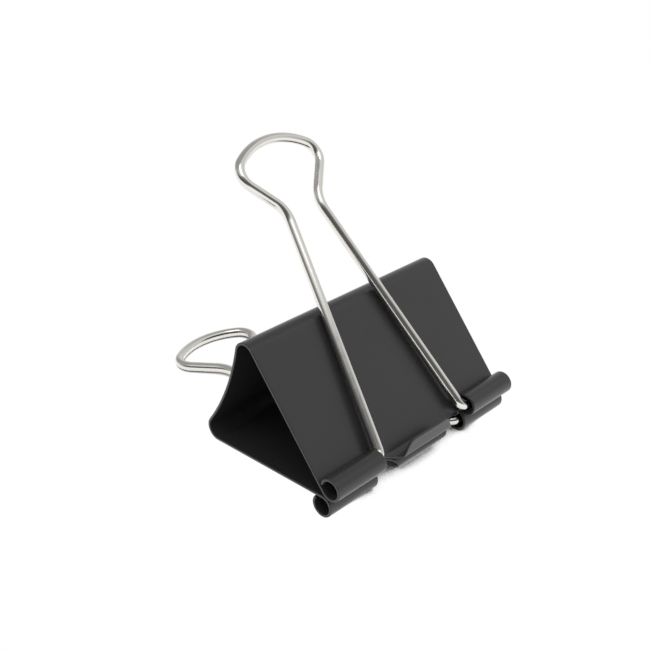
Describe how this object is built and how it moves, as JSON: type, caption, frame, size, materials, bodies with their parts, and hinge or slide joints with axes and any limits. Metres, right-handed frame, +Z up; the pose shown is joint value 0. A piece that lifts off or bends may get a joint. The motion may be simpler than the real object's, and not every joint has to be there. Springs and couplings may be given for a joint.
{
  "type": "foldback clip",
  "caption": "Foldback paper clip: a sprung black sheet-steel body of triangular section with rolled lips, and wire handles that swing in the rolls.",
  "frame": {"origin": "on the table, under the middle of the clip's footprint as it lies on its lower rolls and lower handle", "axes": "+X along the rolls, +Y from the mouth towards the spine and the lower handle's eye, +Z up"},
  "size_m": [0.051, 0.068, 0.0549],
  "materials": {
    "painted_sheet": "satin black enamel on spring steel",
    "plated_wire": "bright nickel plate on steel wire"
  },
  "bodies": {
    "spine": {"spine": "painted_sheet", "upper_bend": "painted_sheet", "lower_bend": "painted_sheet"},
    "upper_jaw": {"upper_jaw": "painted_sheet"},
    "lower_jaw": {"lower_jaw": "painted_sheet"},
    "upper_handle": {"upper_handle": "plated_wire"},
    "lower_handle": {"lower_handle": "plated_wire"}
  },
  "joints": [
    {"name": "upper_jaw_flex", "type": "hinge", "parent": "spine", "child": "upper_jaw", "pos_m": [0, -0.0107, 0.02493], "axis": [-1, 0, 0], "range_deg": [0, 25], "stiffness_Nm_per_rad": 1.5, "springref_deg": -11.46, "deforming": ["upper_bend"]},
    {"name": "lower_jaw_flex", "type": "hinge", "parent": "spine", "child": "lower_jaw", "pos_m": [0, -0.00208, 0.0055], "axis": [1, 0, 0], "range_deg": [0, 25], "stiffness_Nm_per_rad": 1.5, "springref_deg": -11.46, "deforming": ["lower_bend"]},
    {"name": "upper_handle_swing", "type": "hinge", "parent": "upper_jaw", "child": "upper_handle", "pos_m": [0, -0.03172, 0.00655], "axis": [1, 0, 0], "range_deg": [0, 155]},
    {"name": "lower_handle_swing", "type": "hinge", "parent": "lower_jaw", "child": "lower_handle", "pos_m": [0, -0.02982, 0.00225], "axis": [-1, 0, 0], "range_deg": [0, 155]}
  ],
  "couplings": [
    {"joint": "upper_jaw_flex", "follows": "lower_jaw_flex", "ratio": 1}
  ]
}
